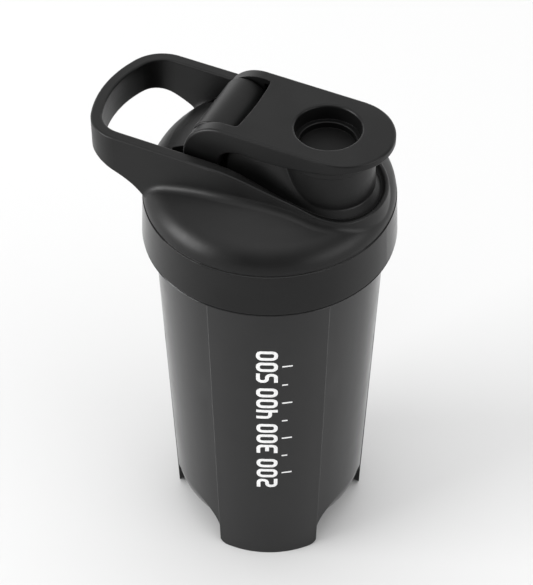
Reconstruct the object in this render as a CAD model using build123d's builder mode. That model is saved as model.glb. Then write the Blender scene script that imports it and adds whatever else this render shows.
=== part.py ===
"""Protein shaker bottle: a three-legged cup, a screw lid with a carry loop and a round spout,
a flip cap with a plug, its hinge pin, two silicone seals and a loose whisk ball.

Units are millimetres.  The origin lies on the cup's axis in the plane of its feet, +Z is up and
+X points from the axis to the spout, so the carry loop reaches out along -X.
"""

import os
from math import atan, cos, radians, sin, sqrt, tan

from build123d import *

os.makedirs("parts", exist_ok=True)

# ---------------------------------------------------------------- driving dimensions
# Cup
foot_r = 37.8            # outer radius of the leg panels at the floor
shoulder_r = 43.4        # outer radius of the wall just under the lid
shoulder_z = 147.8       # underside of the flange that the lid comes down on
cup_wall = 1.8
bowl_fillet = 22.0       # rounded bottom of the cup
bowl_z = 3.0             # lowest point of the cup, between the legs
flange_r = 47.6
flange_t = 0.7
neck_r = 42.6
mouth_r = 40.8
brim_z = 169.0
panel_step = 0.5         # how far a leg panel stands proud of the cup at the bottom
panel_step_top = 0.16    # the same at the top, where the crease fades
panel_root = 0.3         # how far a panel is let into the cup
panel_bevel = 0.5        # degrees taken by the bevel on each side of a panel

# Legs
leg_count = 3
leg_azimuth = -65.0      # middle of the front leg, about +Z from +X
leg_half_angle = 31.8
leg_inner_r = 24.0
leg_wall = 1.8
leg_bite = 0.4           # how far a leg is let into the bowl
foot_corner = 3.0
arch_half = 18.1
arch_top_z = 23.5
arch_corner = 16.0

# Lid thread: three starts on the neck, three in the collar
thread_starts = 3
thread_lead = 12.0
thread_z0 = 153.0
thread_rise = 8.0
thread_h = 1.1
thread_base = 2.0
thread_crest = 1.0
thread_root = 0.3        # how far a thread sinks into its wall

# Lid
collar_z = 148.9
collar_low_r = 47.8
collar_top_z = 167.1
collar_top_r = 47.0
collar_bore = 44.3
dome_a = 46.7            # foot radius of the dome
dome_c = 18.1            # its height
dome_foot_z = 167.6
dome_haunch = 10.5       # radius of its rounded haunch
lid_wall = 2.2
gasket_ceiling = 171.1
lip_seal_r = 39.3        # outer radius of the skirt that stands inside the mouth
lip_seal_wall = 1.9
lip_seal_z = 165.4

# Carry loop and the ring it runs into
loop_top_z = 193.5
loop_half = 26.5         # outer half-width of the arms
loop_tip_x = -67.6
loop_tip_r = 45.0        # bow of the loop's tip
loop_corner_r = 15.0     # its corners
loop_bar = 4.3           # thickness of the band
band_edge = 0.8          # soft edges of the band
ring_foot_z = 166.5
ring_foot_x = 20.0
ring_foot_r = 26.4
ring_lip_z = 178.8
ring_inner_r = 20.9
ring_floor_z = 177.4

# Spout
spout_x = 22.9
spout_r = 17.4
spout_top_z = 202.9
spout_bore = 14.35
spout_mouth = 16.2
spout_taper_z = 198.2
spout_foot = 0.8         # fillet where the spout stands on its floor

# Hinge
hinge_x = -18.7
hinge_z = 190.7
pin_r = 1.5
pin_clearance = 0.05
barrel_half = 13.9
barrel_x = -15.6
barrel_z = 194.6
barrel_r = 9.0
pocket_r = 14.6          # room for the cap's ears to swing
hump_a = 45.8
hump_c = 30.0
hump_haunch = 22.0
hump_front = -9.0
seam_fillet = 3.0
ridge_top_z = 194.5
ridge_low = (22.9, 20.3)         # centre and radius of the ridge's round end, at the ring's floor
ridge_high = (11.0, 15.0)        # the same at its top

# Flip cap
cap_top_z = 205.5
cap_plate = 2.2
cap_half = 19.0
cap_end_x = 28.8
cap_end_r = 18.6
cap_edge = 0.9
cap_low_edge = 0.5       # soft lower edge of the side walls and the front rim
cap_side = 1.8
curl_x = -10.0           # where the plate starts to curl down to the ears
curl_r = 15.8
ear_r = 7.1
side_low_z = 197.4       # lower edge of the side walls
notch_half = 14.3
notch_x = -6.0
notch_corner = 1.5
notch_bow = 0.7          # the notch's front edge is bowed by this much
hollow_x = -9.0          # back end of the hollow under the plate
skirt_inner = 17.7
skirt_outer = 18.55
skirt_play = 0.8         # the skirt is longer than it is wide, so it can swing off the spout
skirt_z = 197.4
plug_r = 13.2
plug_z = 195.0
recess_r = 12.0
recess_step = 6.4
recess_low_r = 10.2
recess_depth = 9.0
recess_lip = 1.0
recess_edge = 0.4
pin_blind = 17.2         # end of the pin in the near ear, which it doesn't pierce
pin_far = 18.5

# Seals and whisk ball
seal_z = 197.6
seal_section = 1.2
seal_mid_r = 12.85
seal_seat_r = 11.6
gasket_in = 39.6
gasket_out = 43.9
gasket_t = 1.8
gasket_z = brim_z + 0.1
ball_r = 25.9
ball_gap = 0.1           # between the ball and the bottom of the cup
strip_w = 2.0            # width of the cage's strips
strip_t = 1.8            # their thickness
hoop_latitudes = (-62.0, -32.0, 0.0, 32.0, 62.0)
rib_pairs = 4


# ---------------------------------------------------------------- shared formulas
def panel_r(z):
    """Outer radius of a leg panel at height z."""
    return foot_r + (shoulder_r - foot_r) * z / shoulder_z


def cup_r(z):
    """Outer radius of the cup between the leg panels at height z."""
    fade = panel_step + (panel_step_top - panel_step) * z / shoulder_z
    return panel_r(z) - fade


def crown_radius(a, c, haunch):
    """Radius of a dome's crown, tangent to the haunch arc that springs upright from radius a."""
    return ((a - haunch) ** 2 + c**2 - haunch**2) / (2 * (c - haunch))


def dome_z(r, a, c, haunch):
    """Height above its foot of such a dome at radius r."""
    crown = crown_radius(a, c, haunch)
    tilt = atan((a - haunch) / (crown - c))
    if r <= crown * sin(tilt):
        return c - crown + sqrt(crown**2 - r**2)
    return sqrt(haunch**2 - (r - a + haunch) ** 2)


def dome_line(a, c, haunch, foot_z):
    """The dome's half section as two tangent arcs, from its foot to its apex."""
    crown = crown_radius(a, c, haunch)
    tilt = atan((a - haunch) / (crown - c))
    meet = (crown * sin(tilt), foot_z + c - crown + crown * cos(tilt))
    rise = (radians(90) - tilt) / 2
    ThreePointArc((a, foot_z), (a - haunch + haunch * cos(rise), foot_z + haunch * sin(rise)), meet)
    ThreePointArc(
        meet, (crown * sin(tilt / 2), foot_z + c - crown + crown * cos(tilt / 2)), (0, foot_z + c)
    )


# ---------------------------------------------------------------- legs, joined to the cup below
bowl_top = bowl_z + bowl_fillet
bowl_x = cup_r(bowl_top) - bowl_fillet
inner_fillet = bowl_fillet - cup_wall
half = sqrt(0.5)
bite_r = bowl_fillet - leg_bite
leg_low = bowl_top - sqrt(bite_r**2 - (leg_inner_r - bowl_x) ** 2)


def panel_strip(z):
    """Corner and middle points of a leg panel's thin section at height z, with bevelled sides."""
    low, high = cup_r(z) - panel_root, panel_r(z)
    wide, narrow = radians(leg_half_angle + panel_bevel), radians(leg_half_angle - panel_bevel)
    return [
        (low * cos(wide), -low * sin(wide)),
        (high * cos(narrow), -high * sin(narrow)),
        (high, 0),
        (high * cos(narrow), high * sin(narrow)),
        (low * cos(wide), low * sin(wide)),
        (low, 0),
    ]


with BuildPart() as legs:
    # a ring that fills the space between the wall's cone and the rounded bowl
    with BuildSketch(Plane.XZ):
        with BuildLine():
            Polyline(
                (leg_inner_r, leg_low),
                (leg_inner_r, 0),
                (cup_r(0), 0),
                (cup_r(bowl_top), bowl_top),
                (cup_r(bowl_top) - leg_bite, bowl_top),
            )
            ThreePointArc(
                (cup_r(bowl_top) - leg_bite, bowl_top),
                (bowl_x + bite_r * half, bowl_top - bite_r * half),
                (leg_inner_r, leg_low),
            )
        make_face()
    revolve(axis=Axis.Z)
    # a panel up the wall above each leg
    for foot in range(leg_count):
        azimuth = leg_azimuth + 360 / leg_count * foot
        for level in (0, shoulder_z):
            strip = panel_strip(level)
            with BuildSketch(Plane.XY.rotated((0, 0, azimuth)).offset(level)):
                with BuildLine():
                    Line(strip[0], strip[1])
                    ThreePointArc(strip[1], strip[2], strip[3])
                    Line(strip[3], strip[4])
                    ThreePointArc(strip[4], strip[5], strip[0])
                make_face()
        loft(ruled=True)
    # arches between the legs: square shoulders rounded above, feet rounded below
    for arch in range(leg_count):
        azimuth = radians(leg_azimuth + 180 / leg_count + 360 / leg_count * arch)
        outward = (cos(azimuth), sin(azimuth), 0)
        across = (-sin(azimuth), cos(azimuth), 0)
        with BuildSketch(Plane(origin=(0, 0, 0), x_dir=across, z_dir=outward)):
            with BuildLine():
                Polyline((0, arch_top_z), (arch_half - arch_corner, arch_top_z))
                RadiusArc(
                    (arch_half - arch_corner, arch_top_z), (arch_half, arch_top_z - arch_corner), arch_corner
                )
                Line((arch_half, arch_top_z - arch_corner), (arch_half, foot_corner))
                RadiusArc((arch_half, foot_corner), (arch_half + foot_corner, 0), -foot_corner)
                Polyline((arch_half + foot_corner, 0), (arch_half + foot_corner, -1), (0, -1))
                mirror(about=Plane.YZ)
            make_face()
        extrude(amount=50, mode=Mode.SUBTRACT)
    # hollow each leg from below
    core_out = foot_r - leg_wall
    core_side = arch_half + leg_wall
    run = sqrt(core_out**2 - core_side**2)
    lean = radians(180 / leg_count)
    far = (run * cos(lean) + core_side * sin(lean), run * sin(lean) - core_side * cos(lean))
    near_u = leg_inner_r + leg_wall
    near_v = (near_u - core_side * sin(lean)) * tan(lean) - core_side * cos(lean)
    for foot in range(leg_count):
        azimuth = leg_azimuth + 360 / leg_count * foot
        with BuildSketch(Plane.XY.rotated((0, 0, azimuth)).offset(-1)):
            with BuildLine():
                Polyline((far[0], -far[1]), (near_u, -near_v), (near_u, near_v), far)
                ThreePointArc(far, (core_out, 0), (far[0], -far[1]))
            make_face()
        extrude(amount=bowl_top, mode=Mode.SUBTRACT)

# ---------------------------------------------------------------- bottle body

with BuildPart() as bottle_body:
    # cup, flange and neck in one section
    with BuildSketch(Plane.XZ):
        with BuildLine():
            Polyline((0, bowl_z + cup_wall), (0, bowl_z), (bowl_x, bowl_z))
            ThreePointArc(
                (bowl_x, bowl_z),
                (bowl_x + bowl_fillet * half, bowl_top - bowl_fillet * half),
                (cup_r(bowl_top), bowl_top),
            )
            Polyline(
                (cup_r(bowl_top), bowl_top),
                (cup_r(shoulder_z), shoulder_z),
                (flange_r - 0.3, shoulder_z),
                (flange_r, shoulder_z + 0.3),
                (flange_r, shoulder_z + flange_t - 0.3),
                (flange_r - 0.3, shoulder_z + flange_t),
                (neck_r, shoulder_z + flange_t),
                (neck_r, brim_z - 0.5),
                (neck_r - 0.5, brim_z),
                (mouth_r + 0.5, brim_z),
                (mouth_r, brim_z - 0.5),
                (mouth_r, shoulder_z),
                (cup_r(bowl_top) - cup_wall, bowl_top),
            )
            ThreePointArc(
                (cup_r(bowl_top) - cup_wall, bowl_top),
                (bowl_x + inner_fillet * half, bowl_top - inner_fillet * half),
                (bowl_x, bowl_z + cup_wall),
            )
            Line((bowl_x, bowl_z + cup_wall), (0, bowl_z + cup_wall))
        make_face()
    revolve(axis=Axis.Z)

    # threads on the neck
    for start in range(thread_starts):
        turn = 360 / thread_starts * start
        thread_path = Helix(thread_lead, thread_rise, neck_r, center=(0, 0, thread_z0))
        thread_path = thread_path.rotate(Axis.Z, turn)
        with BuildSketch(Plane(origin=thread_path @ 0, x_dir=(cos(radians(turn)), sin(radians(turn)), 0),
                               z_dir=thread_path % 0)):
            with BuildLine():
                Polyline(
                    (-thread_root, -thread_base / 2),
                    (thread_h, -thread_crest / 2),
                    (thread_h, thread_crest / 2),
                    (-thread_root, thread_base / 2),
                    close=True,
                )
            make_face()
        sweep(path=thread_path, is_frenet=True)
    add(legs.part)
bottle_body.part.label = "bottle_body"
export_step(bottle_body.part, "parts/bottle_body.step")

# ---------------------------------------------------------------- lid
def loop_outline(inset, front_x, front_r, flank_x=-12.0):
    """Edges of the band in plan: bowed tip, rounded corners, straight arms, round front."""
    side = loop_half - inset
    lean = atan((side - front_r) / (front_x - flank_x))
    meet = (front_x + front_r * sin(lean), front_r * cos(lean))
    between = (radians(90) - lean) / 2
    tip_r, corner_r = loop_tip_r - inset, loop_corner_r - inset
    tip_x, corner_y = loop_tip_x + loop_tip_r, loop_half - loop_corner_r
    corner_x = tip_x - sqrt((loop_tip_r - loop_corner_r) ** 2 - corner_y**2)
    swing = atan(corner_y / (tip_x - corner_x))
    turn = (radians(90) + swing) / 2
    meet_tip = (tip_x - tip_r * cos(swing), tip_r * sin(swing))
    ThreePointArc(
        (corner_x, side), (corner_x - corner_r * cos(turn), corner_y + corner_r * sin(turn)), meet_tip
    )
    ThreePointArc(
        meet_tip, (tip_x - tip_r * cos(swing / 2), tip_r * sin(swing / 2)), (loop_tip_x + inset, 0)
    )
    Line((corner_x, side), (flank_x, side))
    Spline((flank_x, side), meet, tangents=((1, 0), (cos(lean), -sin(lean))))
    ThreePointArc(
        meet,
        (front_x + front_r * cos(between), front_r * sin(between)),
        (front_x + front_r, 0),
    )
    mirror(about=Plane.XZ)


with BuildPart() as band:
    # outer wall: its foot is a plain stadium, its top draws in around the spout
    for level, centre_x, radius in ((ring_foot_z, ring_foot_x, ring_foot_r), (loop_top_z, 24.0, 20.2)):
        with BuildSketch(Plane.XY.offset(level)):
            with BuildLine():
                loop_outline(0, centre_x, radius)
            make_face()
    loft(ruled=True)
    # side view: level along the arms, then a sweep down to the ring; the loop rises at its tip
    with BuildSketch(Plane.XZ):
        with BuildLine():
            Line((-70, loop_top_z), (-12, loop_top_z))
            Spline(
                (-12, loop_top_z), (0, 191.7), (12, 187.5), (24, 183.8), (34, 180.4), (48, ring_lip_z),
                tangents=((1, 0), (1, -0.02)),
            )
            Polyline((48, ring_lip_z), (48, ring_foot_z - 1), (-36, ring_foot_z - 1))
            Spline(
                (-36, ring_foot_z - 1), (-41.5, 172.4), (-49.5, 177.0), (-58, 179.8), (-70, 180.4),
                tangents=((-0.6, 1), (-1, 0)),
            )
            Line((-70, 180.4), (-70, loop_top_z))
        make_face()
    extrude(amount=loop_half + 1, both=True, mode=Mode.INTERSECT)
    # open inside
    with BuildSketch(Plane.XY.offset(ring_foot_z - 2)):
        with BuildLine():
            loop_outline(loop_bar, spout_x, ring_inner_r)
        make_face()
    extrude(amount=loop_top_z, mode=Mode.SUBTRACT)
    # soft edges along the top of the band and under the loop's tip
    low_rim = [e for e in band.edges() if e.geom_type == GeomType.BSPLINE and (e @ 0.5).X < -38]
    low_rim = [e for e in low_rim if (e @ 0.5).Z < 181 and (e @ 0).Y * (e @ 1).Y >= 0 and e.length > 10]
    top_rim = []
    for edge in band.edges():
        low, high = sorted((edge @ 0.02, edge @ 0.98), key=lambda p: p.Z)
        level_top = low.Z > loop_top_z - 0.01 and edge.length > 2 * loop_bar
        sweep_down = low.X > -12.5 and abs(high.X - low.X) > 5 and low.Z > ring_lip_z - 0.5
        if level_top or sweep_down:
            top_rim.append(edge)
    fillet(low_rim + top_rim, band_edge)

# smooth hump behind the hinge, cut away where the cap's ears swing
with BuildPart() as hump:
    with BuildSketch(Plane.XZ):
        with BuildLine():
            Polyline((0, collar_top_z + hump_c), (0, collar_top_z), (hump_a, collar_top_z))
            dome_line(hump_a, hump_c, hump_haunch, collar_top_z)
        make_face()
    revolve(axis=Axis.Z)
    with BuildSketch(Plane.XY.offset(collar_top_z)):
        with Locations((hump_front, 0)):
            Rectangle(60, 2 * (loop_half - loop_bar) + 0.6, align=(Align.MAX, Align.CENTER))
    extrude(amount=hump_c + 1, mode=Mode.INTERSECT)
    for flank in (-1, 1):
        with BuildSketch(Plane.XZ.offset(-flank * barrel_half)):
            with Locations((hinge_x, hinge_z)):
                Circle(pocket_r)
        extrude(amount=-flank * 20, mode=Mode.SUBTRACT)

with BuildPart() as lid:
    # collar and dome, solid for now
    with BuildSketch(Plane.XZ):
        with BuildLine():
            Polyline(
                (0, dome_foot_z + dome_c),
                (0, collar_z),
                (collar_low_r - 0.4, collar_z),
                (collar_low_r, collar_z + 0.4),
                (collar_top_r, collar_top_z - 0.3),
                (collar_top_r - 0.6, collar_top_z),
                (dome_a, dome_foot_z),
            )
            dome_line(dome_a, dome_c, dome_haunch, dome_foot_z)
        make_face()
    revolve(axis=Axis.Z)
    add(band.part)
    # broad concave fillet where the band's outer wall runs into the dome
    seam = []
    for edge in lid.edges():
        spots = [edge @ t for t in (0.2, 0.5, 0.8)]
        heights = [dome_z(min(sqrt(p.X**2 + p.Y**2), dome_a), dome_a, dome_c, dome_haunch) for p in spots]
        on_dome = all(abs(p.Z - dome_foot_z - height) < 0.3 for p, height in zip(spots, heights))
        middle = spots[1]
        if middle.X > 30:
            outside = sqrt((middle.X - spout_x) ** 2 + middle.Y**2) > ring_inner_r + 1
        else:
            outside = abs(middle.Y) > loop_half - 3
        if on_dome and outside and middle.Z > collar_top_z + 1 and edge.geom_type == GeomType.BSPLINE:
            seam.append(edge)
    fillet(seam, seam_fillet)
    # floor of the groove round the spout
    with BuildSketch(Plane.XY.offset(ring_foot_z)):
        with Locations((spout_x, 0)):
            Circle(ring_inner_r + 0.5)
    extrude(amount=ring_floor_z - ring_foot_z)
    # ridge with leaning sides from the hinge to the spout
    for level, (centre_x, radius) in ((ring_floor_z, ridge_low), (ridge_top_z, ridge_high)):
        with BuildSketch(Plane.XY.offset(level)):
            with BuildLine():
                Polyline(
                    (centre_x, -radius), (hump_front, -radius), (hump_front, radius), (centre_x, radius)
                )
                ThreePointArc((centre_x, radius), (centre_x + radius, 0), (centre_x, -radius))
            make_face()
    loft(ruled=True)
    add(hump.part)
    # hinge barrel between the cap's ears
    with BuildSketch(Plane.XZ):
        with Locations((barrel_x, barrel_z)):
            Circle(barrel_r)
            Rectangle(2 * barrel_r, 20, align=(Align.CENTER, Align.MAX))
    extrude(amount=barrel_half, both=True)
    # spout
    with BuildSketch(Plane.XY.offset(ring_foot_z)):
        with Locations((spout_x, 0)):
            Circle(spout_r)
    extrude(amount=spout_top_z - ring_foot_z)
    fillet(lid.faces().sort_by(Axis.Z)[-1].outer_wire().edges(), 0.7)
    foot_edges = []
    for edge in lid.edges():
        spots = [edge @ t for t in (0.1, 0.5, 0.9)]
        on_spout = all(abs((p.X - spout_x) ** 2 + p.Y**2 - spout_r**2) < 0.3 for p in spots)
        if on_spout and max(p.Z for p in spots) < 198:
            foot_edges.append(edge)
    fillet(foot_edges, spout_foot)
    # inside of the dome, with the step that holds the gasket and the skirt that enters the mouth
    with BuildSketch(Plane.XZ):
        with BuildLine():
            inner_dome = (dome_a - lid_wall, dome_c - lid_wall, dome_haunch - lid_wall)
            skirt_in = lip_seal_r - lip_seal_wall
            skirt_top = dome_foot_z + dome_z(skirt_in, *inner_dome)
            middle_top = dome_foot_z + dome_z(skirt_in / 2, *inner_dome)
            apex_z = dome_foot_z + inner_dome[1]
            Polyline(
                (0, apex_z),
                (0, collar_z - 1),
                (collar_bore, collar_z - 1),
                (collar_bore, gasket_ceiling),
                (lip_seal_r, gasket_ceiling),
                (lip_seal_r, lip_seal_z + 0.5),
                (lip_seal_r - 0.5, lip_seal_z),
                (skirt_in + 0.5, lip_seal_z),
                (skirt_in, lip_seal_z + 0.5),
                (skirt_in, skirt_top),
            )
            ThreePointArc((skirt_in, skirt_top), (skirt_in / 2, middle_top), (0, apex_z))
        make_face()
    revolve(axis=Axis.Z, mode=Mode.SUBTRACT)
    # drinking bore, flared at its lip so the plug can swing out
    with BuildSketch(Plane.XZ):
        with BuildLine():
            Polyline(
                (spout_x, ring_foot_z),
                (spout_x + spout_bore, ring_foot_z),
                (spout_x + spout_bore, spout_taper_z),
                (spout_x + spout_mouth, spout_top_z + 0.01),
                (spout_x, spout_top_z + 0.01),
                close=True,
            )
        make_face()
    revolve(axis=Axis(origin=(spout_x, 0, 0), direction=(0, 0, 1)), mode=Mode.SUBTRACT)
    # pin bore
    with BuildSketch(Plane.XZ):
        with Locations((hinge_x, hinge_z)):
            Circle(pin_r + pin_clearance)
    extrude(amount=barrel_half + 1, both=True, mode=Mode.SUBTRACT)
    # threads in the collar, half a pitch from those on the neck
    for start in range(thread_starts):
        turn = 360 / thread_starts * (start + 0.5)
        thread_path = Helix(thread_lead, thread_rise, collar_bore, center=(0, 0, thread_z0))
        thread_path = thread_path.rotate(Axis.Z, turn)
        with BuildSketch(Plane(origin=thread_path @ 0, x_dir=(cos(radians(turn)), sin(radians(turn)), 0),
                               z_dir=thread_path % 0)):
            with BuildLine():
                Polyline(
                    (thread_root, -thread_base / 2),
                    (-thread_h, -thread_crest / 2),
                    (-thread_h, thread_crest / 2),
                    (thread_root, thread_base / 2),
                    close=True,
                )
            make_face()
        sweep(path=thread_path, is_frenet=True)
lid.part.label = "lid"
export_step(lid.part, "parts/lid.step")

# ---------------------------------------------------------------- flip cap
with BuildPart() as flip_cap:
    # plate and side walls
    with BuildSketch(Plane.XY.offset(cap_top_z)):
        with BuildLine():
            Polyline((cap_end_x, -cap_end_r), (-40, -cap_half), (-40, cap_half), (cap_end_x, cap_end_r))
            ThreePointArc((cap_end_x, cap_end_r), (cap_end_x + cap_end_r, 0), (cap_end_x, -cap_end_r))
        make_face()
    extrude(amount=-25)
    # side view: curled back, round ears, arched cut-outs and a thin front rim
    with BuildSketch(Plane.XZ):
        with BuildLine():
            Line((60, cap_top_z), (curl_x, cap_top_z))
            RadiusArc((curl_x, cap_top_z), (curl_x - curl_r, cap_top_z - curl_r), -curl_r)
            ThreePointArc(
                (curl_x - curl_r, cap_top_z - curl_r),
                (hinge_x, hinge_z - ear_r),
                (hinge_x + ear_r, hinge_z),
            )
            Spline((hinge_x + ear_r, hinge_z), (-9.6, 194.9), (-3, side_low_z), tangents=((0.1, 1), (1, 0)))
            Spline(
                (-3, side_low_z), (14, side_low_z + 0.2), (26, 199.4), (36, 201.4), (60, 202.6),
                tangents=((1, 0), (1, 0.02)),
            )
            Line((60, 202.6), (60, cap_top_z))
        make_face()
    extrude(amount=30, both=True, mode=Mode.INTERSECT)
    # hollow under the plate, open to the notch at the hinge
    with BuildSketch(Plane.XY.offset(cap_top_z - cap_plate)):
        with BuildLine():
            Polyline(
                (cap_end_x, -cap_end_r + cap_side),
                (hollow_x, -cap_half + cap_side),
                (hollow_x, cap_half - cap_side),
                (cap_end_x, cap_end_r - cap_side),
            )
            ThreePointArc(
                (cap_end_x, cap_end_r - cap_side),
                (cap_end_x + cap_end_r - cap_side, 0),
                (cap_end_x, -cap_end_r + cap_side),
            )
        make_face()
        with Locations((spout_x + skirt_play / 2, 0)):
            SlotCenterToCenter(skirt_play, 2 * skirt_inner)
    extrude(amount=-30, mode=Mode.SUBTRACT)
    # notch for the barrel
    with BuildSketch(Plane.XY.offset(cap_top_z + 1)):
        with BuildLine():
            side_x, side_y = notch_x - notch_corner, notch_half - notch_corner
            Polyline((-40, -notch_half), (side_x, -notch_half))
            RadiusArc((side_x, -notch_half), (notch_x, -side_y), -notch_corner)
            ThreePointArc((notch_x, -side_y), (notch_x + notch_bow, 0), (notch_x, side_y))
            RadiusArc((notch_x, side_y), (side_x, notch_half), -notch_corner)
            Polyline((side_x, notch_half), (-40, notch_half), (-40, -notch_half))
        make_face()
    extrude(amount=-40, mode=Mode.SUBTRACT)
    # soft top edge
    rim = flip_cap.faces().sort_by(Axis.Z)[-1].outer_wire().edges()
    top_edges = [
        e for e in rim
        if (e @ 0.5).X > curl_x + 0.5 and (abs((e @ 0.5).Y) > notch_half + 1 or (e @ 0.5).X > cap_end_x)
    ]
    fillet(top_edges, cap_edge)
    low_edges = []
    for edge in flip_cap.edges():
        middle = edge @ 0.5
        outside = abs(middle.Y) > cap_end_r - 0.1 or middle.X > cap_end_x + 13
        if outside and middle.X > 0 and middle.Z < 203 and edge.length > 25:
            low_edges.append(edge)
    fillet(low_edges, cap_low_edge)
    # skirt round the spout
    with BuildSketch(Plane.XY.offset(skirt_z)):
        with Locations((spout_x + skirt_play / 2, 0)):
            SlotCenterToCenter(skirt_play, 2 * skirt_outer)
            SlotCenterToCenter(skirt_play, 2 * skirt_inner, mode=Mode.SUBTRACT)
    extrude(amount=cap_top_z - cap_plate / 2 - skirt_z)
    # hollow plug that closes the spout's bore
    with BuildSketch(Plane.XZ):
        with BuildLine():
            Polyline(
                (spout_x, cap_top_z - 1),
                (spout_x, plug_z),
                (spout_x + plug_r - 0.8, plug_z),
                (spout_x + plug_r, plug_z + 0.8),
                (spout_x + plug_r, seal_z - seal_section - 0.05),
                (spout_x + seal_seat_r, seal_z - seal_section - 0.05),
                (spout_x + seal_seat_r, seal_z + seal_section + 0.05),
                (spout_x + plug_r, seal_z + seal_section + 0.05),
                (spout_x + plug_r, cap_top_z - 1),
                close=True,
            )
        make_face()
    revolve(axis=Axis(origin=(spout_x, 0, 0), direction=(0, 0, 1)))
    with BuildSketch(Plane.XZ):
        with BuildLine():
            Polyline(
                (spout_x, cap_top_z + 1),
                (spout_x, cap_top_z - recess_depth),
                (spout_x + recess_low_r, cap_top_z - recess_depth),
                (spout_x + recess_low_r, cap_top_z - recess_step),
                (spout_x + recess_r, cap_top_z - recess_step),
                (spout_x + recess_r, cap_top_z - recess_lip),
            )
            RadiusArc(
                (spout_x + recess_r, cap_top_z - recess_lip),
                (spout_x + recess_r + recess_lip, cap_top_z),
                recess_lip,
            )
            Polyline(
                (spout_x + recess_r + recess_lip, cap_top_z),
                (spout_x + recess_r + recess_lip, cap_top_z + 1),
                (spout_x, cap_top_z + 1),
            )
        make_face()
    revolve(axis=Axis(origin=(spout_x, 0, 0), direction=(0, 0, 1)), mode=Mode.SUBTRACT)
    step_z = cap_top_z - recess_step
    rings = flip_cap.edges().filter_by(GeomType.CIRCLE)
    step_edge = [e for e in rings if abs((e @ 0).Z - step_z) < 0.01 and e.length < 70]
    fillet(step_edge, recess_edge)
    # pin holes: through the far ear, blind in the near one
    with BuildSketch(Plane.XZ.offset(pin_blind)):
        with Locations((hinge_x, hinge_z)):
            Circle(pin_r)
    extrude(amount=-(pin_blind + cap_half + 1), mode=Mode.SUBTRACT)
flip_cap.part.label = "flip_cap"
export_step(flip_cap.part, "parts/flip_cap.step")

# ---------------------------------------------------------------- hinge pin
with BuildPart() as hinge_pin:
    with BuildSketch(Plane.XZ.offset(pin_blind)):
        with Locations((hinge_x, hinge_z)):
            Circle(pin_r)
    extrude(amount=-(pin_blind + pin_far))
    chamfer(hinge_pin.faces().filter_by(Axis.Y).edges(), 0.3)
hinge_pin.part.label = "hinge_pin"
export_step(hinge_pin.part, "parts/hinge_pin.step")

# ---------------------------------------------------------------- silicone seals
with BuildPart() as lid_gasket:
    with BuildSketch(Plane.XZ):
        with Locations(((gasket_in + gasket_out) / 2, gasket_z + gasket_t / 2)):
            RectangleRounded(gasket_out - gasket_in, gasket_t, 0.5)
    revolve(axis=Axis.Z)
lid_gasket.part.label = "lid_gasket"
export_step(lid_gasket.part, "parts/lid_gasket.step")

with BuildPart() as spout_seal:
    with BuildSketch(Plane.XZ):
        with Locations((spout_x + seal_mid_r, seal_z)):
            Circle(seal_section)
    revolve(axis=Axis(origin=(spout_x, 0, 0), direction=(0, 0, 1)))
spout_seal.part.label = "spout_seal"
export_step(spout_seal.part, "parts/spout_seal.step")

# ---------------------------------------------------------------- whisk ball
ball_z = bowl_z + cup_wall + ball_gap + ball_r
with BuildPart() as whisk_ball:
    # cage of flat strips: upright ribs and level hoops cut from one thin ball
    for rib in range(rib_pairs):
        with Locations(Location((0, 0, ball_z), (0, 0, 180 / rib_pairs * rib))):
            Box(2 * ball_r, strip_w, 2 * ball_r)
    for latitude in hoop_latitudes:
        with Locations((0, 0, ball_z + ball_r * sin(radians(latitude)))):
            Cylinder(ball_r, strip_w)
    with Locations((0, 0, ball_z)):
        Sphere(ball_r, mode=Mode.INTERSECT)
        Sphere(ball_r - strip_t, mode=Mode.SUBTRACT)
whisk_ball.part.label = "whisk_ball"
export_step(whisk_ball.part, "parts/whisk_ball.step")
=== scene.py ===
"""Looks of the protein shaker bottle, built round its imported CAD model."""

from math import cos, pi, radians, sin

import bpy
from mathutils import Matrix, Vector


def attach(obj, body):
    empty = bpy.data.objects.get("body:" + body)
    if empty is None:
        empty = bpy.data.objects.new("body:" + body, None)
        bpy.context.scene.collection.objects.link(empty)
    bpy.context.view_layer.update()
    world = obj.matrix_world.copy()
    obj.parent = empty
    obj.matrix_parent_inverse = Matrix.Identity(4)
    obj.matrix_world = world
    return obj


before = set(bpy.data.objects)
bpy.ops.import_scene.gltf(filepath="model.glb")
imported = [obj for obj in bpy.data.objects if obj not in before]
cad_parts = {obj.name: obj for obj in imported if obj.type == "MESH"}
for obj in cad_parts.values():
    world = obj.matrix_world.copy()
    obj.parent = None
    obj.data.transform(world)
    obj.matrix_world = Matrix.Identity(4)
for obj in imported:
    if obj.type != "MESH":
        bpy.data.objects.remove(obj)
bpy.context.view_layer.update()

MM = 0.001
scene = bpy.context.scene


# ---------------------------------------------------------------- camera, light and floor
LENS_MM, SENSOR_MM = 130.9, 36.0
CAMERA_PLACE = (0.2527, -0.5255, 0.6931)
CAMERA_FORWARD = (-0.3086, 0.6384, -0.7051)
WALL_AZIMUTH = radians(116)         # the bright wall stands behind the bottle
WALL_FADE = (0.1, 0.7)              # cosines to the wall between which the room gives way to it
# brightness of the room and of the wall, from the horizon (0) to overhead (1)
ROOM_STOPS = ((0.0, 0.14), (0.4, 0.24), (0.62, 0.75), (0.85, 1.6), (0.97, 2.4))
WALL_STOPS = ((0.0, 2.5), (0.3, 1.8), (0.62, 0.62), (0.85, 1.2), (0.97, 2.4))
FLOOR_REACH = 8.0
FLOOR_GREY = 0.63


def add_camera():
    data = bpy.data.cameras.new("camera")
    data.lens = LENS_MM
    data.sensor_width = SENSOR_MM
    data.clip_start = 0.01
    camera = bpy.data.objects.new("camera", data)
    camera.location = CAMERA_PLACE
    camera.rotation_euler = Vector(CAMERA_FORWARD).to_track_quat("-Z", "Y").to_euler()
    scene.collection.objects.link(camera)
    scene.camera = camera


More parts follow.
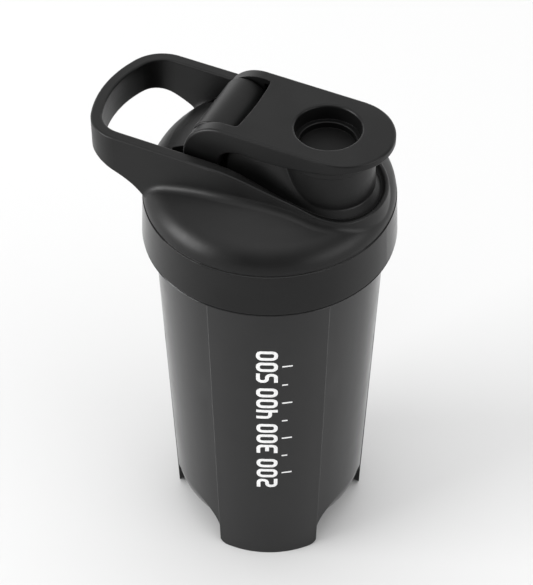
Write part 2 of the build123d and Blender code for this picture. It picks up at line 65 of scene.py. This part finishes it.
def add_softbox(name, azimuth, distance, height, size, radiance):
    """A softbox at an azimuth (degrees) that faces the point half its own height up the axis."""
    data = bpy.data.lights.new(name, "AREA")
    data.shape = "RECTANGLE"
    data.size, data.size_y = size
    data.energy = radiance * pi * size[0] * size[1]
    light = bpy.data.objects.new(name, data)
    place = Vector((distance * cos(radians(azimuth)), distance * sin(radians(azimuth)), height))
    light.location = place
    light.rotation_euler = (Vector((0, 0, height * 0.5)) - place).to_track_quat("-Z", "Y").to_euler()
    scene.collection.objects.link(light)


def add_studio():
    """A white studio: bright wall behind the bottle, bright ceiling, dim room behind the camera."""
    world = bpy.data.worlds.new("studio")
    world.use_nodes = True
    nodes, links = world.node_tree.nodes, world.node_tree.links
    back = nodes["Background"]
    place = nodes.new("ShaderNodeTexCoord")
    split = nodes.new("ShaderNodeSeparateXYZ")
    links.new(place.outputs["Generated"], split.inputs["Vector"])
    ramps = []
    for stops in (ROOM_STOPS, WALL_STOPS):
        ramp = nodes.new("ShaderNodeValToRGB")
        elements = ramp.color_ramp.elements
        while len(elements) < len(stops):
            elements.new(0.5)
        for stop, (at, value) in zip(elements, stops):
            stop.position = at
            stop.color = (value, value, value, 1.0)
        links.new(split.outputs["Z"], ramp.inputs["Fac"])
        ramps.append(ramp)
    side = nodes.new("ShaderNodeVectorMath")
    side.operation = "DOT_PRODUCT"
    side.inputs[1].default_value = (cos(WALL_AZIMUTH), sin(WALL_AZIMUTH), 0)
    links.new(place.outputs["Generated"], side.inputs[0])
    fade = nodes.new("ShaderNodeMapRange")
    fade.interpolation_type = "SMOOTHSTEP"
    fade.inputs["From Min"].default_value, fade.inputs["From Max"].default_value = WALL_FADE
    links.new(side.outputs["Value"], fade.inputs["Value"])
    mix = nodes.new("ShaderNodeMix")
    mix.data_type = "RGBA"
    links.new(fade.outputs["Result"], mix.inputs["Factor"])
    links.new(ramps[0].outputs["Color"], mix.inputs["A"])
    links.new(ramps[1].outputs["Color"], mix.inputs["B"])
    links.new(mix.outputs["Result"], back.inputs["Color"])
    scene.world = world


def add_floor():
    """A wide sheet of matt pale paper in the plane of the feet."""
    mesh = bpy.data.meshes.new("floor")
    corners = [(x * FLOOR_REACH, y * FLOOR_REACH, 0) for x, y in ((-1, -1), (1, -1), (1, 1), (-1, 1))]
    mesh.from_pydata(corners, [], [(0, 1, 2, 3)])
    floor = bpy.data.objects.new("floor", mesh)
    material = bpy.data.materials.new("floor_paper")
    material.use_nodes = True
    shader = material.node_tree.nodes["Principled BSDF"]
    shader.inputs["Base Color"].default_value = (FLOOR_GREY, FLOOR_GREY, FLOOR_GREY, 1.0)
    shader.inputs["Roughness"].default_value = 0.9
    shader.inputs["Specular IOR Level"].default_value = 0.1
    mesh.materials.append(material)
    scene.collection.objects.link(floor)


scene.view_settings.view_transform = "Standard"
add_camera()
add_studio()
add_softbox("left_softbox", azimuth=-139, distance=3.0, height=0.85, size=(1.9, 1.7), radiance=12.0)
add_softbox("right_softbox", azimuth=-6, distance=3.0, height=0.6, size=(2.6, 1.2), radiance=4.5)
add_floor()


# ---------------------------------------------------------------- materials
NOISE_RANGE = (0.3, 0.7)            # where most of a noise's values lie
MOTTLE_MM, SCUFF_MM, DRAG_MM = 14.0, 5.0, 26.0
SCUFF_STRETCH, DRAG_STRETCH = (1, 1, 0.35), (1, 1, 22)
EDGE_POLISH = 0.18                  # how much smoother an edge is than the face beside it
GROOVE_Z = 0.1671                   # the lid is polished below this height and grained above it
GROOVE_BLEND = 0.1 * MM


class Shader:
    """A principled material with shorthand for its procedural layers."""

    def __init__(self, name):
        self.material = bpy.data.materials.new(name)
        self.material.use_nodes = True
        self.nodes, self.links = self.material.node_tree.nodes, self.material.node_tree.links
        self.surface = self.nodes["Principled BSDF"]
        self.place = self.nodes.new("ShaderNodeTexCoord").outputs["Object"]

    def noise(self, size_mm, detail=2.0, stretch=(1, 1, 1), roughness=0.5):
        scaled = self.nodes.new("ShaderNodeMapping")
        scaled.inputs["Scale"].default_value = [part / (size_mm * MM) for part in stretch]
        self.links.new(self.place, scaled.inputs["Vector"])
        noise = self.nodes.new("ShaderNodeTexNoise")
        noise.inputs["Scale"].default_value = 1.0
        noise.inputs["Detail"].default_value = detail
        noise.inputs["Roughness"].default_value = roughness
        self.links.new(scaled.outputs["Vector"], noise.inputs["Vector"])
        return noise.outputs["Fac"]

    def remap(self, value, low, high, to_low, to_high):
        node = self.nodes.new("ShaderNodeMapRange")
        node.inputs["From Min"].default_value = low
        node.inputs["From Max"].default_value = high
        node.inputs["To Min"].default_value = to_low
        node.inputs["To Max"].default_value = to_high
        self.links.new(value, node.inputs["Value"])
        return node.outputs["Result"]

    def maths(self, operation, first, second):
        node = self.nodes.new("ShaderNodeMath")
        node.operation = operation
        for socket, value in zip(node.inputs, (first, second)):
            if isinstance(value, (int, float)):
                socket.default_value = value
            else:
                self.links.new(value, socket)
        return node.outputs["Value"]

    def rounded(self, radius_mm):
        """Normal with softened edges, and a mask of where those edges are."""
        bevel = self.nodes.new("ShaderNodeBevel")
        bevel.samples = 6
        bevel.inputs["Radius"].default_value = radius_mm * MM
        facet = self.nodes.new("ShaderNodeNewGeometry").outputs["Normal"]
        dot = self.nodes.new("ShaderNodeVectorMath")
        dot.operation = "DOT_PRODUCT"
        self.links.new(bevel.outputs["Normal"], dot.inputs[0])
        self.links.new(facet, dot.inputs[1])
        return bevel.outputs["Normal"], self.remap(dot.outputs["Value"], 0.995, 0.9, 0.0, 1.0)

    def bump(self, height, depth_mm, normal=None):
        node = self.nodes.new("ShaderNodeBump")
        node.inputs["Distance"].default_value = depth_mm * MM
        self.links.new(height, node.inputs["Height"])
        if normal is not None:
            self.links.new(normal, node.inputs["Normal"])
        return node.outputs["Normal"]

    def colour(self, factor, dark, light):
        node = self.nodes.new("ShaderNodeMix")
        node.data_type = "RGBA"
        node.inputs["A"].default_value = (*dark, 1.0)
        node.inputs["B"].default_value = (*light, 1.0)
        self.links.new(factor, node.inputs["Factor"])
        return node.outputs["Result"]

    def finish(self, colour, roughness, normal):
        self.links.new(colour, self.surface.inputs["Base Color"])
        self.links.new(roughness, self.surface.inputs["Roughness"])
        self.links.new(normal, self.surface.inputs["Normal"])
        return self.material


def moulded(
    name, dark, light, rough, grain_mm, grain_depth, edge_mm=0.3, streaks=0.0, index=1.3, smooth_below=None
):
    """Injection-moulded plastic: fine grain, faint mottling, polished edges that also get a painted
    highlight in their colour, faint drag streaks.
    """
    shader = Shader(name)
    shader.surface.inputs["IOR"].default_value = index
    normal, edge = shader.rounded(edge_mm)
    mottle = shader.noise(MOTTLE_MM, detail=3.0)
    grain = shader.noise(grain_mm, detail=3.0, roughness=0.6)
    scuff = shader.noise(SCUFF_MM, detail=6.0, stretch=SCUFF_STRETCH, roughness=0.65)
    roughness = shader.remap(mottle, *NOISE_RANGE, rough - 0.03, rough + 0.03)
    roughness = shader.maths("ADD", roughness, shader.remap(scuff, 0.56, 0.75, 0.0, -0.05))
    roughness = shader.maths("SUBTRACT", roughness, shader.maths("MULTIPLY", edge, EDGE_POLISH))
    if streaks:
        drag = shader.noise(DRAG_MM, detail=2.0, stretch=DRAG_STRETCH)
        roughness = shader.maths("ADD", roughness, shader.remap(drag, *NOISE_RANGE, -streaks, streaks))
    if smooth_below:
        level = shader.nodes.new("ShaderNodeSeparateXYZ")
        shader.links.new(shader.place, level.inputs["Vector"])
        above = shader.remap(
            level.outputs["Z"], smooth_below - GROOVE_BLEND, smooth_below + GROOVE_BLEND, 0.0, 1.0
        )
        roughness = shader.maths("SUBTRACT", roughness, shader.remap(above, 0.0, 1.0, 0.2, 0.0))
        grain = shader.maths("MULTIPLY", grain, shader.remap(above, 0.0, 1.0, 0.15, 1.0))
    tone = shader.remap(mottle, *NOISE_RANGE, 0.0, 0.5)
    # painted highlight: the colour is made lighter along the softened edges
    tone = shader.maths("ADD", tone, shader.maths("MULTIPLY", edge, 0.5))
    normal = shader.bump(grain, grain_depth, normal)
    return shader.finish(shader.colour(tone, dark, light), roughness, normal)


body_plastic = moulded(
    "body_plastic", (0.0045, 0.0045, 0.0047), (0.008, 0.008, 0.0082), 0.2, 0.4, 0.001,
    streaks=0.02, index=1.38,
)
lid_plastic = moulded(
    "lid_plastic", (0.003, 0.003, 0.003), (0.006, 0.006, 0.006), 0.4, 0.45, 0.02,
    streaks=0.02, smooth_below=GROOVE_Z,
)
cap_plastic = moulded("cap_plastic", (0.003, 0.003, 0.003), (0.006, 0.006, 0.006), 0.4, 0.45, 0.012)
pin_plastic = moulded("pin_plastic", (0.006, 0.006, 0.006), (0.012, 0.012, 0.012), 0.25, 0.6, 0.001)
seal_rubber = moulded("seal_rubber", (0.02, 0.02, 0.02), (0.035, 0.035, 0.035), 0.6, 0.3, 0.006)
ball_plastic = moulded("ball_plastic", (0.01, 0.01, 0.011), (0.02, 0.02, 0.021), 0.3, 0.6, 0.003)
finishes = {
    "bottle_body": body_plastic,
    "lid": lid_plastic,
    "flip_cap": cap_plastic,
    "hinge_pin": pin_plastic,
    "lid_gasket": seal_rubber,
    "spout_seal": seal_rubber,
    "whisk_ball": ball_plastic,
}
for node, finish in finishes.items():
    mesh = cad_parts[node].data
    mesh.materials.clear()
    mesh.materials.append(finish)


# ---------------------------------------------------------------- printed measuring scale
# millimetres from here on, until on_panel turns them into metres
PRINT_AZIMUTH = radians(-65.6)
FOOT_R, SHOULDER_R, SHOULDER_Z = 37.8, 43.4, 147.8     # the leg panel's cone
GLYPH_W, GLYPH_H, STROKE, GLYPH_GAP, CURVE = 5.1, 8.2, 1.45, 1.2, 1.5
CORNER_STEPS, PATH_STEP = 6, 0.8
INK_UNDER, INK_OVER = -0.03, 0.035                     # how deep and how proud of the panel the ink lies
TICK_GAP, TICK_W, TICK_LENGTH, HALF_TICK_LENGTH = 1.6, 0.7, 4.0, 2.2
# number, and its height: only a likeness of a scale, for the cup holds 14 to 20 ml less at each
FILLS = ((200, 52.6), (300, 74.0), (400, 95.0), (500, 116.0))
LEFT, RIGHT = STROKE / 2, GLYPH_W - STROKE / 2
LOW, MIDDLE, HIGH = STROKE / 2, GLYPH_H / 2, GLYPH_H - STROKE / 2
INNER_RIGHT = RIGHT - STROKE / 2
THREE_BAR_START, FOUR_BAR_Y = 1.2, 2.9
# each digit's strokes: the corners of the middle line, and whether it closes
DIGITS = {
    "0": [([(LEFT, LOW), (LEFT, HIGH), (RIGHT, HIGH), (RIGHT, LOW)], True)],
    "2": [([(0, HIGH), (RIGHT, HIGH), (RIGHT, MIDDLE), (LEFT, MIDDLE), (LEFT, LOW), (GLYPH_W, LOW)], False)],
    "3": [
        ([(0, HIGH), (RIGHT, HIGH), (RIGHT, LOW), (0, LOW)], False),
        ([(THREE_BAR_START, MIDDLE), (INNER_RIGHT, MIDDLE)], False),
    ],
    "4": [
        ([(LEFT, GLYPH_H), (LEFT, FOUR_BAR_Y), (INNER_RIGHT, FOUR_BAR_Y)], False),
        ([(RIGHT, GLYPH_H), (RIGHT, 0)], False),
    ],
    "5": [([(GLYPH_W, HIGH), (LEFT, HIGH), (LEFT, MIDDLE), (RIGHT, MIDDLE), (RIGHT, LOW), (0, LOW)], False)],
}


def rounded_path(points, closed):
    """Points along a stroke's middle line, with round corners and even steps between them."""
    corners = [Vector(point) for point in points]
    count = len(corners)
    line = []
    for index, corner in enumerate(corners):
        if not closed and index in (0, count - 1):
            line.append(corner)
            continue
        before = (corners[index - 1] - corner).normalized()
        after = (corners[(index + 1) % count] - corner).normalized()
        centre = corner + (before + after) * CURVE
        for step in range(CORNER_STEPS + 1):
            turn = step / CORNER_STEPS * pi / 2
            line.append(centre - after * CURVE * cos(turn) - before * CURVE * sin(turn))
    if closed:
        line.append(line[0])
    path = [line[0]]
    for start, end in zip(line, line[1:]):
        steps = max(1, round((end - start).length / PATH_STEP))
        path += [start.lerp(end, step / steps) for step in range(1, steps + 1)]
    return path[:-1] if closed else path


def on_panel(x, y, z0, lift):
    """Place on the leg panel of a glyph's point: x runs up the bottle, y to the left."""
    z = z0 + x
    radius = FOOT_R + (SHOULDER_R - FOOT_R) * z / SHOULDER_Z + lift
    angle = PRINT_AZIMUTH - (y - GLYPH_H / 2) / radius
    return (radius * cos(angle) * MM, radius * sin(angle) * MM, z * MM)


def add_stroke(verts, faces, points, closed, shift, z0, width=STROKE):
    """A thin closed slab of ink along one stroke."""
    path = rounded_path(points, closed)
    count = len(path)
    first = len(verts)
    for index, point in enumerate(path):
        ahead = path[(index + 1) % count] if closed or index + 1 < count else point
        behind = path[index - 1] if closed or index else point
        along = (ahead - behind).normalized()
        across = Vector((-along.y, along.x)) * width / 2
        section = ((across, INK_UNDER), (-across, INK_UNDER), (-across, INK_OVER), (across, INK_OVER))
        for side, lift in section:
            spot = point + side
            verts.append(on_panel(shift + spot.x, spot.y, z0, lift))
    for index in range(count if closed else count - 1):
        here, there = first + 4 * index, first + 4 * ((index + 1) % count)
        for edge in range(4):
            step = (edge + 1) % 4
            faces.append((here + edge, here + step, there + step, there + edge))
    if not closed:
        faces.append(tuple(range(first + 3, first - 1, -1)))
        last = first + 4 * (count - 1)
        faces.append(tuple(range(last, last + 4)))


def print_material():
    """Screen-printed ink: flat white with faint pinholes of uneven cover."""
    shader = Shader("print_white")
    cover = shader.noise(0.5, detail=3.0)
    tone = shader.remap(cover, 0.3, 0.6, 0.0, 1.0)
    roughness = shader.remap(shader.noise(1.5), *NOISE_RANGE, 0.45, 0.6)
    colour = shader.colour(tone, (0.66, 0.66, 0.66), (0.78, 0.78, 0.78))
    return shader.finish(colour, roughness, shader.bump(cover, 0.004))


def add_print(name, verts, faces, material):
    """One printed mark, which rides on the cup."""
    mesh = bpy.data.meshes.new(name)
    mesh.from_pydata(verts, [], faces)
    mesh.materials.append(material)
    piece = bpy.data.objects.new(name, mesh)
    scene.collection.objects.link(piece)
    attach(piece, "bottle")


def add_number(value, level, material):
    """A number that reads up the bottle, centred on its level."""
    verts, faces = [], []
    digits = str(value)
    length = len(digits) * GLYPH_W + (len(digits) - 1) * GLYPH_GAP
    for place, digit in enumerate(digits):
        for points, closed in DIGITS[digit]:
            add_stroke(verts, faces, points, closed, place * (GLYPH_W + GLYPH_GAP), level - length / 2)
    add_print(f"scale_number_{value}", verts, faces, material)


def add_tick(value, level, length, material):
    """A level mark beside the numbers, across the bottle."""
    verts, faces = [], []
    ends = [(0, -TICK_GAP), (0, -TICK_GAP - length)]
    add_stroke(verts, faces, ends, False, 0, level, TICK_W)
    add_print(f"scale_tick_{value}", verts, faces, material)


ink = print_material()
for value, level in FILLS:
    add_number(value, level, ink)
    add_tick(value, level, TICK_LENGTH, ink)
for (value, level), (value_above, level_above) in zip(FILLS, FILLS[1:]):
    add_tick((value + value_above) // 2, (level + level_above) / 2, HALF_TICK_LENGTH, ink)

# ---------------------------------------------------------------- end
bpy.context.view_layer.update()
